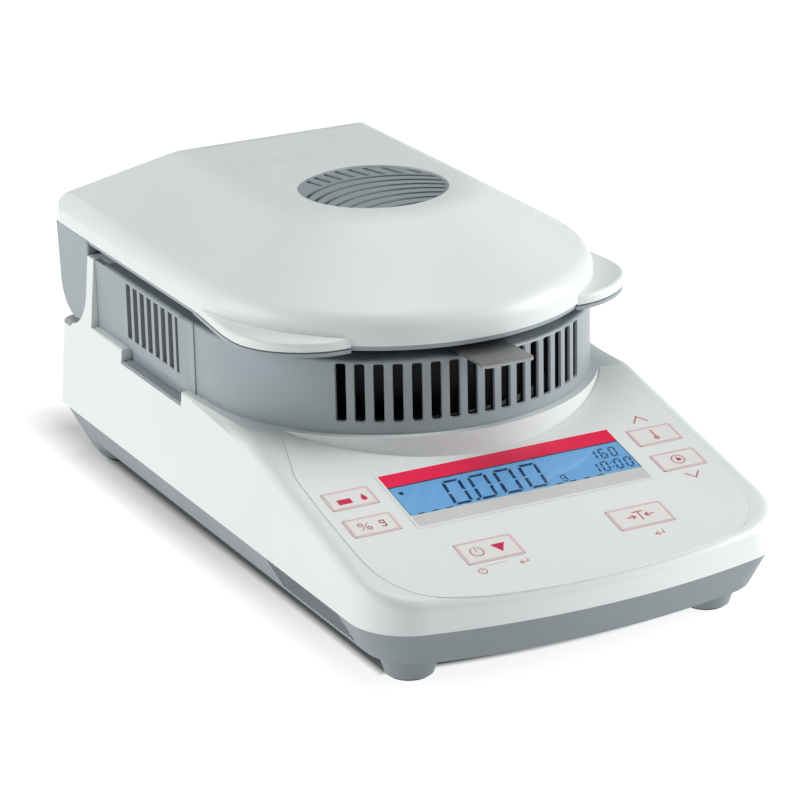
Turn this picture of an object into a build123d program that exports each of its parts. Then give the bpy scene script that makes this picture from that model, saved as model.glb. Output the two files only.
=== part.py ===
from build123d import *
import math
import os

os.makedirs("parts", exist_ok=True)

# ---------------------------------------------------------------- dimensions
# millimetres; X to the right, -Y to the operator, +Z up, Z = 0 is the table
# overall about 168 wide, 297 deep, 131 high
HALF_W = 84.0            # half width of the housing at the joint line
Y_FRONT = -148.5         # front of the housing at the centre
Y_REAR = 147.0           # rear of the housing
Z_SPLIT = 24.3           # joint line between lower and upper housing
Z_FLOOR = 10.5           # underside of the lower housing
Z_DECK = 63.0            # deck around the chamber ring
R_BOW = 279.0            # bow of the front edge
R_CORNER = 23.0          # front corners in plan
WALL = 2.5               # housing wall
DRAFT = 0.088            # side draft, mm per mm
PANEL_Y, PANEL_Z, PANEL_S = -80.5, 50.7, 0.25   # a point on the panel and its slope
CH_Y = 13.0              # chamber axis
R_RING = 76.5            # chamber ring, outer radius at the front
RING_W = 77.5            # chamber ring, half width of the flats
Z_RING = 91.0            # top of the ring
SLOT_Z = 78.7            # mid height of the ring slots
RING_REAR = 102.8
R_CHAMBER = 58.0         # clear radius of the sample chamber
PIV_Y, PIV_Z = 133.5, 75.0   # lid hinge axis
R_ARM = 15.0             # rounded end of the hinge arm
R_PIN = 3.0
RUN = 0.05               # running clearance of the hinge pins
LID_W = 78.0             # half width of the lid
LID_REAR = 150.5
Z_LID = 97.0             # bottom of the white lid cover
Z_FRAME = 94.0           # bottom of the grey lid frame
Z_TOP = 131.0            # lid plateau
VENT_Y, R_VENT = 22.1, 28.6
R_PAN = 45.0             # sample pan
KEY_TRAVEL = 0.4
WEIGH_TRAVEL = 0.3
CLR = 0.3                # clearance between moving pieces

T = math.atan(PANEL_S)
PANEL = Plane(origin=(0, PANEL_Y, PANEL_Z), x_dir=(1, 0, 0), z_dir=(0, -math.sin(T), math.cos(T)))


def pv(y):
    """distance along the panel of a point with the row's Y"""
    return (y - PANEL_Y) / math.cos(T)


def on_panel(shape):
    return PANEL.location * shape


def prect(x0, x1, y0, y1, d0, d1, r=0.0):
    """a plate on the panel, x0..x1, y0..y1 in row coordinates, depth d0..d1 along the normal"""
    sk = Pos((x0 + x1) / 2, (pv(y0) + pv(y1)) / 2) * (
        RectangleRounded(abs(x1 - x0), abs(pv(y1) - pv(y0)), r) if r else Rectangle(abs(x1 - x0), abs(pv(y1) - pv(y0))))
    return on_panel(Pos(0, 0, d0) * extrude(sk, amount=d1 - d0))


def box(x0, x1, y0, y1, z0, z1):
    return Pos((x0 + x1) / 2, (y0 + y1) / 2, (z0 + z1) / 2) * Box(abs(x1 - x0), abs(y1 - y0), abs(z1 - z0))


def cyl(x, y, z0, z1, r):
    return Pos(x, y, (z0 + z1) / 2) * Cylinder(r, z1 - z0)


def xcyl(x0, x1, y, z, r):
    return Pos((x0 + x1) / 2, y, z) * Rot(0, 90, 0) * Cylinder(r, abs(x1 - x0))


def ycyl(x, y0, y1, z, r):
    return Pos(x, (y0 + y1) / 2, z) * Rot(90, 0, 0) * Cylinder(r, abs(y1 - y0))


def tube(x, y, z0, z1, ro, ri):
    return cyl(x, y, z0, z1, ro) - cyl(x, y, z0 - 1, z1 + 1, ri)


def side_profile(pts, x0, x1):
    """a prism along X with the given (y, z) outline"""
    wire = Polyline(*[(0, y, z) for y, z in pts], close=True)
    return Pos(x0, 0, 0) * extrude(make_face(wire), amount=x1 - x0, dir=(1, 0, 0))


def ease(shape, edges, radii):
    """round the edges with the first radius that works"""
    for r in radii:
        try:
            out = fillet(edges, r)
            if out.is_valid and out.volume > 0.5 * shape.volume:
                return out
        except Exception:
            pass
    print("not rounded", len(edges))
    return shape


def plan(hw, yf, yr, z, rf=R_CORNER, rr=10.0):
    """housing outline in plan: bowed front, rounded corners"""
    s = R_BOW - math.sqrt(R_BOW ** 2 - hw ** 2)
    a, b, c, d = (-hw, yf + s), (hw, yf + s), (hw, yr), (-hw, yr)
    sk = Sketch() + make_face([ThreePointArc(a, (0, yf), b), Line(b, c), Line(c, d), Line(d, a)])
    vs = sk.vertices().sort_by(Axis.Y)
    sk = fillet(vs[:2], rf)
    vs = [v for v in sk.vertices() if v.Y > yr - 0.01]
    sk = fillet(vs, rr)
    return Pos(0, 0, z) * sk


def prism(z0, z1, off=0.0, hw=HALF_W, yf=Y_FRONT, yr=Y_REAR, draft=DRAFT, rr=10.0):
    def at(z):
        d = (z - Z_SPLIT) * draft + off
        return plan(hw - d, yf + d, yr - off, z, R_CORNER - off, rr - off * 0.8)
    return loft([at(z0), at(z1)], ruled=True)


def u_plan(hw, cy, yr, z, rr=0.0, ys=None):
    """U outline: half circle at the front about (0, cy), flats to the rear"""
    a, b = (-hw, cy), (hw, cy)
    sk = Sketch() + make_face([ThreePointArc(a, (0, cy - hw), b), Line(b, (hw, yr)), Line((hw, yr), (-hw, yr)), Line((-hw, yr), a)])
    if rr:
        sk = fillet([v for v in sk.vertices() if v.Y > yr - 0.01], rr)
    return Pos(0, 0, z) * sk


def u_block(hw, cy, yr, z0, z1, rr=0.0):
    return extrude(u_plan(hw, cy, yr, z0, rr), amount=z1 - z0)


def panel_z(y):
    return PANEL_Z + PANEL_S * (y - PANEL_Y)


NODES = {}


def keep(name, shape):
    NODES[name] = shape


# ------------------------------------------------------------ upper housing
Y_DECK = PANEL_Y + (Z_DECK - PANEL_Z) / PANEL_S      # where the panel meets the deck
NOTCH = [(117.6, 110), (117.6, 78)] + [
    (PIV_Y + 15.9 * math.cos(math.radians(a)), PIV_Z + 15.9 * math.sin(math.radians(a))) for a in range(180, 264, 6)] + [
    (PIV_Y - 1.0, 57.6), (160, 57.4), (160, 110)]

outer = prism(Z_SPLIT, 100.0)
body = outer & side_profile([(-170, 20), (-170, panel_z(-170)), (Y_DECK, Z_DECK), (RING_REAR + 0.2, Z_DECK),
                             (RING_REAR + 0.2, 57.0), (170, 57.0), (170, 20)], -90, 90)
def is_rim(e):
    c = e @ 0.5
    if c.Y > RING_REAR - 1:
        return False
    zt = panel_z(c.Y) if c.Y < Y_DECK else Z_DECK
    d = (c.Z - Z_SPLIT) * DRAFT
    side = abs(abs(c.X) - (HALF_W - d)) < 0.5
    return abs(c.Z - zt) < 1.2 and (side or c.Y < -120)


rim = [e for e in body.edges() if is_rim(e)]
body = ease(body, rim, [4.5, 4.0, 3.5, 3.0, 2.0])
bulk = outer & side_profile([(RING_REAR + 0.2, 50), (RING_REAR + 0.2, 90.8), (PIV_Y - 16, 90.8), (PIV_Y, 93.2), (170, 93.2), (170, 50)], -90, 90)
tower_keep = box(-62.5, 62.5, 100, PIV_Y, 40, 95) + xcyl(-62.5, 62.5, PIV_Y, PIV_Z, 18.2) + box(-62.5, 62.5, PIV_Y, 160, 40, PIV_Z)
notch_cut = side_profile(NOTCH, -90, 90)
wings_part = bulk - notch_cut
for s in (-1, 1):
    wings_part = wings_part - box(s * 74.6, s * 90, RING_REAR, 111.5, Z_DECK, 100)
tower = bulk & tower_keep
plinth = cyl(0, CH_Y, 46, Z_DECK, 79.6)
plinth = plinth & outer
housing = body + wings_part + tower + plinth
# hollow
inner = prism(Z_SPLIT - 2, 100.0, off=WALL)
cav = inner & side_profile([(-170, 18), (-170, panel_z(-170) - WALL), (Y_DECK, Z_DECK - WALL), (RING_REAR, Z_DECK - WALL),
                            (RING_REAR, 57.4 - WALL), (170, 57.4 - WALL), (170, 18)], -90, 90)
cav = cav + (inner & (box(-52, 52, 105.8, PIV_Y, 50, 90) + xcyl(-52, 52, PIV_Y, PIV_Z, 15.4) + box(-52, 52, PIV_Y, 160, 50, PIV_Z)))
housing = housing - cav
# chamber well, plinth hollow and the pockets below the side vents
housing = housing - cyl(0, CH_Y, 40, 70, 60.3) - (cyl(0, CH_Y, 40, Z_DECK - WALL, 77.0) & inner)
# the deck's rim runs out into a sharp edge beside the ring
for s in (-1, 1):
    rim_a = make_face([Line(*q) for q in (((s * 73, 55), (s * 81.25, 55)), ((s * 81.25, 55), (s * 80.9, 59.4)), ((s * 80.9, 59.4), (s * 77.0, Z_DECK)), ((s * 77.0, Z_DECK), (s * 73, Z_DECK)), ((s * 73, Z_DECK), (s * 73, 55)))])
    rim_b = make_face([Line(*q) for q in (((s * 73, 55), (s * 81.28, 55)), ((s * 81.28, 55), (s * 80.64, 62.4)), ((s * 80.64, 62.4), (s * 80.1, Z_DECK)), ((s * 80.1, Z_DECK), (s * 73, Z_DECK)), ((s * 73, Z_DECK), (s * 73, 55)))])
    plane = lambda y: Plane((0, y, 0), x_dir=(1, 0, 0), z_dir=(0, -1, 0))
    housing = housing + loft([plane(-26) * rim_a, plane(18) * rim_b], ruled=True) + loft([plane(18) * rim_b, plane(104) * rim_b], ruled=True)
    housing = housing - box(s * 75.3, s * 90, 25.0, 81.2, 57.2, 70)
# hinge pin seats
for s in (-1, 1):
    housing = housing - xcyl(s * 53, s * 63, PIV_Y, PIV_Z, R_PIN)
# overlay recess, display opening, key wells
OV_T, OV_D = 0.5, 0.35


def overlay_outline(off=0.0):
    pts = [(0, -146.4 + off), (34, -144.4 + off), (54, -140.6 + off), (63.5, -136.6 + off), (69.6, -130.3 + off), (73.6 - off, -121.5),
           (75.4 - off, -110), (75.7 - off, -84), (75.0 - off, -60 - off)]
    r = 80.4 + off
    x1 = 67.0
    arc_mid = (0, CH_Y - r)
    arc_end = (x1, CH_Y - math.sqrt(r * r - x1 * x1))
    right = [Line((pts[i][0], pv(pts[i][1])), (pts[i + 1][0], pv(pts[i + 1][1]))) for i in range(6, 8)]
    spl = Spline(*[(-p[0], pv(p[1])) for p in reversed(pts[1:7])] + [(p[0], pv(p[1])) for p in pts[0:7]])
    left = [Line((-pts[i + 1][0], pv(pts[i + 1][1])), (-pts[i][0], pv(pts[i][1]))) for i in range(6, 8)]
    top_r = Line((pts[8][0], pv(pts[8][1])), (arc_end[0], pv(arc_end[1])))
    top_l = Line((-arc_end[0], pv(arc_end[1])), (-pts[8][0], pv(pts[8][1])))
    arc = Spline(*[(80.4 * math.sin(a) * r / 80.4, pv(CH_Y - r * math.cos(a))) for a in
                   [math.asin(x1 / r) * k / 6.0 for k in range(6, -7, -1)]])
    return make_face([spl] + right + [top_r, arc, top_l] + left)


KEYS = {                      # x0, x1, y0, y1 in row coordinates
    "key_profile": (-71.6, -53.4, -82.9, -72.4),
    "key_readout": (-71.6, -53.4, -99.5, -89.0),
    "key_time": (53.4, 71.6, -99.5, -89.0),
    "key_temperature": (53.4, 71.6, -82.9, -72.4),
    "key_start": (-41.6, -19.4, -126.2, -114.2),
    "key_tare": (19.4, 41.6, -126.2, -114.2),
}
DISP = (-47.7, 47.7, -101.2, -68.5)      # clear window with its printed bands
LCD = (-47.4, 47.4, -93.5, -76.8)        # visible glass

ov_face = overlay_outline(0.0)
housing = housing - on_panel(Pos(0, 0, -OV_D) * extrude(overlay_outline(-0.15), amount=5))
housing = housing - prect(-46.2, 46.2, -97.5, -72.0, -12, 1)
for k, (x0, x1, y0, y1) in KEYS.items():
    housing = housing - prect(x0 - CLR, x1 + CLR, y0 - CLR, y1 + CLR, -3.2, 1)
# screw bosses for the ring, board posts
for x in (-66, 66):
    for y in (-14, 78):
        housing = housing - cyl(x, y, 55, 70, 1.7)
# rear sockets
INLET = (-46.0, 41.0)       # x, z of the inlet centre
housing = housing - box(INLET[0] - 14, INLET[0] + 14, 138, 152, INLET[1] - 15, INLET[1] + 11)
housing = housing - box(21.5, 38.5, 138, 152, 36.9, 47.1)
for s in (-1, 1):
    housing = housing - ycyl(INLET[0] + s * 20.0, 138, 152, INLET[1] - 1, 1.65)
keep("upper_housing", housing)

# ------------------------------------------------------------ lower housing
lo = loft([plan(76.5, -141.5, 141.0, Z_FLOOR, 20, 9), plan(83.0, -147.7, 146.0, Z_SPLIT - 0.0, 22.5, 9.5)], ruled=True)
lo_in = loft([plan(74.0, -139.0, 138.5, Z_FLOOR + 2.5, 17.5, 7), plan(80.3, -145.0, 143.3, Z_SPLIT + 0.5, 20, 7)], ruled=True)
lower = lo - lo_in
FOOT_F = [(-60.5, -116.5), (60.5, -116.5)]
FOOT_R = [(-61.5, 130.0), (61.5, 130.0)]
lo_ext = loft([plan(71.55, -136.6, 137.2, 0.0, 18.0, 8.2), plan(83.0, -147.7, 146.0, Z_SPLIT, 22.5, 9.5)], ruled=True)
for x, y in FOOT_F:
    pod = loft([Pos(x, y, 0.9) * Circle(8.7), Pos(x, y, 14.0) * Circle(13.0)], ruled=True) & lo_ext
    lower = lower + pod - cyl(x, y, -1, 4.0, 7.6)
for x, y in FOOT_R:
    pod = loft([Pos(x, y, 5.6) * Circle(13.0), Pos(x, y, 14.0) * Circle(19.0)], ruled=True) & lo_ext
    lower = lower + pod + cyl(x, y, 12, 22, 8)
    lower = lower - cyl(x, y, 0, 20.5, 3.05)
# ventilation slots in both side walls near the front
for s in (-1, 1):
    for i in range(18):
        y = -51.5 - 3.15 * i
        slot = Pos(s * 80.5, y, 17.3) * Rot(-22, 0, 0) * Box(14, 1.6, 11.0)
        lower = lower - slot
# posts for boards and load cell
POSTS = [(-50, -118), (50, -118), (-50, -62), (50, -62)]
for x, y in POSTS:
    lower = lower + cyl(x, y, Z_FLOOR + 1, 17.0, 3.5) - cyl(x, y, 13.6, 20, 1.25)
PSU_POSTS = [(-62, 48), (-22, 48), (-62, 92), (-22, 92)]
for x, y in PSU_POSTS:
    lower = lower + cyl(x, y, Z_FLOOR + 1, 17.0, 3.2) - cyl(x, y, 13.6, 20, 1.25)
# tall bosses that carry the upper housing
SCREWS = [(-70.0, -86.0), (70.0, -86.0), (-70.0, 20.0), (70.0, 20.0), (-70.0, 104.0), (70.0, 104.0)]
for x, y in SCREWS:
    lower = lower - cyl(x, y, 0, 30, 1.8)
keep("lower_housing", lower)
# bosses belong to the upper housing and end on the floor of the tray
for x, y in SCREWS:
    zt = min(panel_z(y), Z_DECK) - (5.5 if y < -60 else 1.5)
    boss = cyl(x, y, Z_FLOOR + 2.6, zt, 3.4) - cyl(x, y, Z_FLOOR, Z_FLOOR + 14, 1.25)
    boss = boss + (box(x, x + math.copysign(14, x), y - 1, y + 1, 26, zt) & outer)
    housing = housing + boss
keep("upper_housing", housing)
scr = Compound(children=[cyl(x, y, Z_FLOOR + 1.6, 21, 1.25) + cyl(x, y, Z_FLOOR + 0.1, Z_FLOOR + 1.6, 1.75) for x, y in SCREWS])
keep("housing_screws", scr)

# ------------------------------------------------------------------- feet
ff = []
for x, y in FOOT_F:
    f = cyl(x, y, 0.0, 3.9, 7.5)
    ff.append(f)
keep("front_feet", Compound(children=ff))
for name, (x, y) in (("left", FOOT_R[0]), ("right", FOOT_R[1])):
    wheel = loft([Pos(x, y, 1.2) * Circle(9.4), Pos(x, y, 5.2) * Circle(12.2)], ruled=True)
    for i in range(24):
        a = 2 * math.pi * i / 24
        wheel = wheel - Pos(x + 12.2 * math.cos(a), y + 12.2 * math.sin(a), 3.6) * Rot(0, 0, math.degrees(a)) * Rot(0, 35, 0) * Box(1.3, 1.1, 12)
    wheel = wheel + cyl(x, y, 4.0, 19.0, 3.0) - cyl(x, y, 0, 2.6, 8.0)
    keep("rear_foot_" + name, wheel)
    keep("rear_foot_pad_" + name, cyl(x, y, 0.0, 2.5, 7.9))

# ------------------------------------------------------------ chamber ring
ring = u_block(R_RING, CH_Y, RING_REAR, Z_DECK, Z_RING) + box(-RING_W, RING_W, CH_Y + 6, RING_REAR, Z_DECK, Z_RING)
for s in (-1, 1):
    cheek = make_face([Spline((s * 76.5, CH_Y), (s * 77.3, CH_Y + 9), (s * 78.3, CH_Y + 18.2)), Line((s * 78.3, CH_Y + 18.2), (s * 75, CH_Y + 18.2)),
                       Line((s * 75, CH_Y + 18.2), (s * 75, CH_Y)), Line((s * 75, CH_Y), (s * 76.5, CH_Y))])
    ring = ring + Pos(0, 0, Z_DECK) * extrude(Sketch() + cheek, amount=Z_RING - Z_DECK)
# lips that fill the side pockets and carry the ring on the deck
ring = ease(ring, [e for e in ring.edges() if (e @ 0.5).Z > Z_RING - 0.01 and (e @ 0.5).Y < RING_REAR - 1], [1.2, 0.8])
ring = ring - (u_block(R_RING - 2.6, CH_Y, RING_REAR - 2.6, Z_DECK - 1, Z_RING - 2.2))
ring = ring - cyl(0, CH_Y, 60, 95, R_CHAMBER + 0.4)
for i in range(16):
    a = math.radians((i - 7.5) * 5.18 - 1.2)
    x, y = R_RING * math.sin(a), CH_Y - R_RING * math.cos(a)
    bevel = loft([Plane((0, -1.2, 0), x_dir=(1, 0, 0), z_dir=(0, -1, 0)) * RectangleRounded(5.3, 23.4, 1.2),
                  Plane((0, 0.7, 0), x_dir=(1, 0, 0), z_dir=(0, -1, 0)) * RectangleRounded(3.6, 21.6, 0.8)], ruled=True)
    hole = extrude(Plane((0, 9, 0), x_dir=(1, 0, 0), z_dir=(0, -1, 0)) * RectangleRounded(3.6, 21.6, 0.8), amount=18)
    ring = ring - Pos(x, y, SLOT_Z) * Rot(0, 0, math.degrees(a)) * (bevel + hole)
for s in (-1, 1):
    for i in range(8):
        y = 79.4 - 6.57 * i
        ring = ring - box(s * 70, s * 84, y - 2.0, y + 2.0, 67.3, 89.2)
# plates over the pillars behind the ring, lips that line the pockets below the side slots
for s in (-1, 1):
    ring = ring + box(s * 74.65, s * RING_W, RING_REAR - 6, 111.4, Z_DECK, Z_RING - 0.4)
    ring = ring + box(s * 75.4, s * 76.4, 25.1, 81.1, 57.3, Z_DECK + 0.5) + box(s * 75.4, s * 80.6, 25.1, 81.1, 57.3, 58.2)
# screw ears inside the ring
for x in (-66, 66):
    for y in (-14, 78):
        ring = ring + (cyl(x, y, Z_DECK, Z_RING - 2.2, 4.0) - cyl(x, y, Z_DECK - 1, Z_DECK + 14, 1.25))
# pocket for the level
ring = ring - cyl(0, 88.0, 84, 95, 8.7) + tube(0, 88.0, 84.5, Z_RING, 10.7, 8.7) - cyl(0, 88, 84.4, 84.5, 8)
ring = ring & (cyl(0, CH_Y, 50, 100, 300) )
keep("chamber_ring", ring)
keep("ring_screws", Compound(children=[cyl(x, y, 58.0, Z_DECK + 9, 1.25) + cyl(x, y, 58.0, 60.4, 3.0)
                                       for x in (-66, 66) for y in (-14, 78)]))
keep("level_body", cyl(0, 88.0, 84.8, 90.6, 8.6) - cyl(0, 88.0, 86.8, 92, 6.6))
keep("level_vial", cyl(0, 88.0, 86.8, 90.4, 6.5))

# chamber pot of sheet metal, with a hole for the stem of the pan carrier
pot = cyl(0, CH_Y, 60.5, 88.6, 57.8) - cyl(0, CH_Y, 61.3, 95, 57.0)
pot = pot + (tube(0, CH_Y, 60.5, 61.3, 60.0, 57.0)) - cyl(0, CH_Y, 55, 66, 7.0)
keep("heat_shield", pot)
# low draught collar on the pot's floor round the pan carrier
keep("wind_shield", tube(0, CH_Y, 61.3, 69.0, 48.0, 47.2))

# ------------------------------------------------------- weighing system
lc_y0, lc_y1 = 3.0, 103.0
cell = box(-10, 10, lc_y0, lc_y1, 27.0, 42.0)
cell = cell - xcyl(-12, 12, 40, 34.5, 5.2) - xcyl(-12, 12, 66, 34.5, 5.2) - box(-12, 12, 40, 66, 31.5, 37.5)
cell = cell - cyl(0, 92, 20, 50, 2.1) - cyl(0, 80, 20, 50, 2.1)
keep("load_cell", cell)
base = box(-14, 14, 74, 100, 13.0, 26.9) - cyl(0, 92, 10, 30, 1.7) - cyl(0, 80, 10, 30, 1.7)
base = base + box(-14, 14, 60, 74, 13.0, 16.0)
keep("load_cell_base", base)
keep("load_cell_screws", Compound(children=[cyl(0, y, 16, 42.0, 1.7) + cyl(0, y, 42.0, 45.0, 3.4) for y in (80, 92)]))
sup = cyl(0, CH_Y, 42.4, 70.0, 4.0)
sup = sup + cyl(0, CH_Y, 42.4, 46.0, 7.5) + cyl(0, CH_Y, 68.4, 70.0, 9)
for a in (0, 60, 120):
    sup = sup + Pos(0, CH_Y, 70.6) * Rot(0, 0, a) * Box(70, 6, 1.4)
sup = sup + tube(0, CH_Y, 69.9, 71.3, 36.0, 32.5)
for a in range(0, 360, 120):
    aa = math.radians(a + 30)
    sup = sup + cyl(34.2 * math.cos(aa), CH_Y + 34.2 * math.sin(aa), 71.0, 72.8, 1.6)
keep("pan_support", sup)

# --------------------------------------------------- sample pan and handler
pan = cyl(0, CH_Y, 73.1, 80.6, R_PAN) - cyl(0, CH_Y, 73.6, 85, R_PAN - 0.6)
pan = pan + tube(0, CH_Y, 80.0, 80.6, R_PAN + 1.4, R_PAN - 0.2)
keep("sample_pan", pan)
hnd = tube(0, CH_Y, 78.6, 79.9, 53.0, R_PAN + 0.25)
hnd = hnd + (tube(0, CH_Y, 79.0, 92.5, 54.6, 53.4) & (box(-10.3, 10.3, CH_Y - 60, CH_Y, 70, 100))) + (
    tube(0, CH_Y, 78.6, 79.9, 54.6, 52.8) & box(-10.3, 10.3, CH_Y - 60, CH_Y, 70, 100))
tongue = box(-10.3, 10.3, -82.0, CH_Y - 53.4, 91.5, 92.5)
tongue = ease(tongue, [e for e in tongue.edges().filter_by(Axis.Z) if (e @ 0.5).Y < -80], [2.2])
hnd = hnd + tongue
hnd = hnd - (cyl(0, CH_Y, 85, 99, 53.35))
keep("pan_handler", hnd)

# --------------------------------------------------------- operator panel
ovl = on_panel(Pos(0, 0, -OV_D) * extrude(ov_face, amount=OV_T))
ovl = ovl - prect(*[DISP[0] - 0.1, DISP[1] + 0.1, DISP[2] - 0.1, DISP[3] + 0.1], -5, 5)
for k, (x0, x1, y0, y1) in KEYS.items():
    ovl = ovl - prect(x0 - CLR, x1 + CLR, y0 - CLR, y1 + CLR, -5, 5, 1.2)
keep("membrane_overlay", ovl)
win = prect(*DISP, -OV_D, 0.25, 0.8)
win = win + prect(-46.0, 46.0, -97.3, -72.2, -1.0, -OV_D + 0.01)
keep("display_window", win)
keep("lcd_panel", prect(-46.0, 46.0, -97.0, -72.4, -3.6, -1.2))
keep("lcd_backlight", prect(-46.0, 46.0, -97.0, -72.4, -6.4, -3.7))
pcb = prect(-74, 74, -130, -68, -9.0, -7.4) & (prism(Z_SPLIT - 2, 100.0, off=4.0))
for x, y in SCREWS[:2]:
    pcb = pcb - cyl(x, y, 10, 80, 4.2)
keep("display_board", pcb)
sw = []
for k, (x0, x1, y0, y1) in KEYS.items():
    cx, cy = (x0 + x1) / 2, (y0 + y1) / 2
    sw.append(on_panel(Pos(cx, pv(cy), -5.9) * Box(6, 6, 3.0)) + on_panel(Pos(cx, pv(cy), -4.2) * Cylinder(1.75, 0.6)))
    tile = prect(x0, x1, y0, y1, -1.0, 0.35, 1.2)
    tile = tile + on_panel(Pos(cx, pv(cy), -2.15) * Cylinder(2.0, 2.5))
    keep(k, tile)
keep("key_switches", Compound(children=sw))
# window in the floor of each key well for the plunger
for k, (x0, x1, y0, y1) in KEYS.items():
    cx, cy = (x0 + x1) / 2, (y0 + y1) / 2
    housing = housing - on_panel(Pos(cx, pv(cy), -5) * Cylinder(4.0, 10))
keep("upper_housing", housing)

# ------------------------------------------------------------ electronics
mb = box(-56, 56, -124, -56, 17.0, 18.6)
mb = mb + box(-30, -14, -100, -84, 18.6, 20.4) + box(6, 20, -96, -82, 18.6, 20.2) + box(30, 50, -74, -64, 18.6, 26) + box(-52, -36, -72, -64, 18.6, 27)
for x, y in ((-6, -70), (4, -70), (14, -70)):
    mb = mb + cyl(x, y, 18.6, 29, 3.6)
keep("main_board", mb)
ps = box(-66, -17, 44, 96, 17.0, 18.6) + cyl(-54, 62, 18.6, 38, 7) + box(-42, -26, 52, 68, 18.6, 36) + box(-56, -28, 76, 88, 18.6, 33)
keep("power_supply_board", ps)
tr = box(24, 64, 58, 92, 16.0, 46.0)
tr = tr + box(32, 56, 52, 98, 19.0, 43.0) + box(24, 64, 50, 100, 13.0, 16.0)
keep("transformer", tr)

# ---------------------------------------------------------- rear sockets
rear_in = Y_REAR - 5.0
ix, iz = INLET
inl = box(ix - 13.7, ix + 13.7, 121, 147.2, iz - 14.7, iz + 10.7) + box(ix - 24, ix + 24, 147.0, 148.4, iz - 16.2, iz + 12.5)
inl = inl - box(ix - 11.7, ix + 11.7, 128, 150, iz - 6.2, iz + 9.4)
inl = inl - box(ix - 10.4, ix + 10.4, 124, 150, iz - 13.9, iz - 7.6)
inl = inl + box(ix - 1, ix + 1, 124, 141.0, iz + 2.6, iz + 5.4) + box(ix - 8.2, ix - 5.8, 124, 141.0, iz - 2, iz + 0.6) + box(ix + 5.8, ix + 8.2, 124, 141.0, iz - 2, iz + 0.6)
for s in (-1, 1):
    inl = inl - ycyl(ix + s * 20.0, 146, 150, iz - 1, 1.7)
keep("power_inlet", inl)
fd = box(ix - 10.1, ix + 10.1, 126.5, 148.4, iz - 13.6, iz - 7.9) - box(ix - 8.9, ix + 8.9, 128, 145.5, iz - 12.6, iz - 6)
keep("fuse_drawer", fd)
keep("fuses", ycyl(ix, 128.4, 145.2, iz - 10.2, 2.3))
keep("inlet_screws", Compound(children=[ycyl(ix + s * 20.0, 141.0, 148.4, iz - 1, 1.65) for s in (-1, 1)]))
ser = box(21.8, 38.2, 141.5, 147.0, 37.2, 46.8) + box(14.5, 45.5, 147.0, 147.7, 36.2, 47.8) + box(22.0, 38.0, 147.6, 148.5, 38.2, 45.8)
for r_, n_, z_ in ((0, 5, 43.4), (1, 4, 40.6)):
    for i in range(n_):
        ser = ser - ycyl(30 + (i - (n_ - 1) / 2) * 2.77, 146.0, 149.8, z_, 0.55)
for x in (17.5, 42.5):
    ser = ser + ycyl(x, 147.5, 148.5, 42, 1.9)
keep("serial_port", ser)

# ------------------------------------------------------------------- lid
def lid_shell(off, z0, zs, zt):
    """walls from z0 to the shoulder, roof to the plateau; off moves everything inwards"""
    w = LID_W - off
    lowr = loft([u_plan(w, CH_Y, LID_REAR - off, z0), u_plan(w - 0.5, CH_Y, LID_REAR - off - 0.3, zs)], ruled=True)
    roof = loft([u_plan(w - 0.5, CH_Y, LID_REAR - off - 0.3, zs), u_plan(38.0 - off * 0.3, VENT_Y, 108.5 - off * 0.3, zt)], ruled=True)
    return lowr + roof


lid = lid_shell(0.0, Z_LID, 106.6, Z_TOP)
lid = Solid(lid.solids()[0].wrapped) if False else lid


def z_is(e, z, tol=0.3):
    bb = e.bounding_box()
    return abs(bb.min.Z - z) < tol and abs(bb.max.Z - z) < tol


lid = ease(lid, [e for e in lid.edges() if z_is(e, 106.6)], [9.0, 8.0, 7.0, 6.0, 5.0, 4.0])
lid = ease(lid, [e for e in lid.edges() if z_is(e, Z_TOP)], [22.0, 16.0, 12.0, 8.0, 5.0])
lid = ease(lid, [e for e in lid.edges() if (e @ 0.5).Y > 120 and abs((e @ 0.5).X) > 60 and e.bounding_box().size.Z > 3
                 and e.bounding_box().max.Z < 108], [6.0, 5.0, 4.0, 3.0])

WING = [(79.6, -8), (80.0, -20), (79.0, -27), (76.2, -33.5), (72.5, -38.5), (64.5, -45), (54.7, -49), (46.6, -49.5)]


def wing(s, z0, z1, off=0.0):
    pts = [(s * (x - off * 0.7), y + off) for x, y in WING]
    sp = Spline(*pts)
    edges = [sp, Line(pts[-1], (s * 42, -36)), Line((s * 42, -36), (s * 60, 20)), Line((s * 60, 20), (s * (77.0 - off), 20)), Line((s * (77.0 - off), 20), pts[0])]
    return Pos(0, 0, z0) * extrude(Sketch() + make_face(edges), amount=z1 - z0)


for s in (-1, 1):
    w = wing(s, 96.4, 100.0) - u_block(LID_W - 0.3, CH_Y, LID_REAR, 96.0, Z_LID)
    w = ease(w, [e for e in w.edges() if (e @ 0.5).Z > 99.9 and e.length > 60 and (e @ 0.5).Y < 0], [1.4, 1.0])
    lid = lid + w
cavity = lid_shell(2.5, Z_LID - 0.9, 105.2, Z_TOP - 2.6)
lid = lid - cavity
lid = lid - cyl(0, VENT_Y, 120, 140, R_VENT)
lid = lid + (tube(0, VENT_Y, Z_TOP - 4.6, Z_TOP - 2.2, R_VENT + 3, R_VENT - 1.6))
keep("lid_cover", lid)

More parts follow.
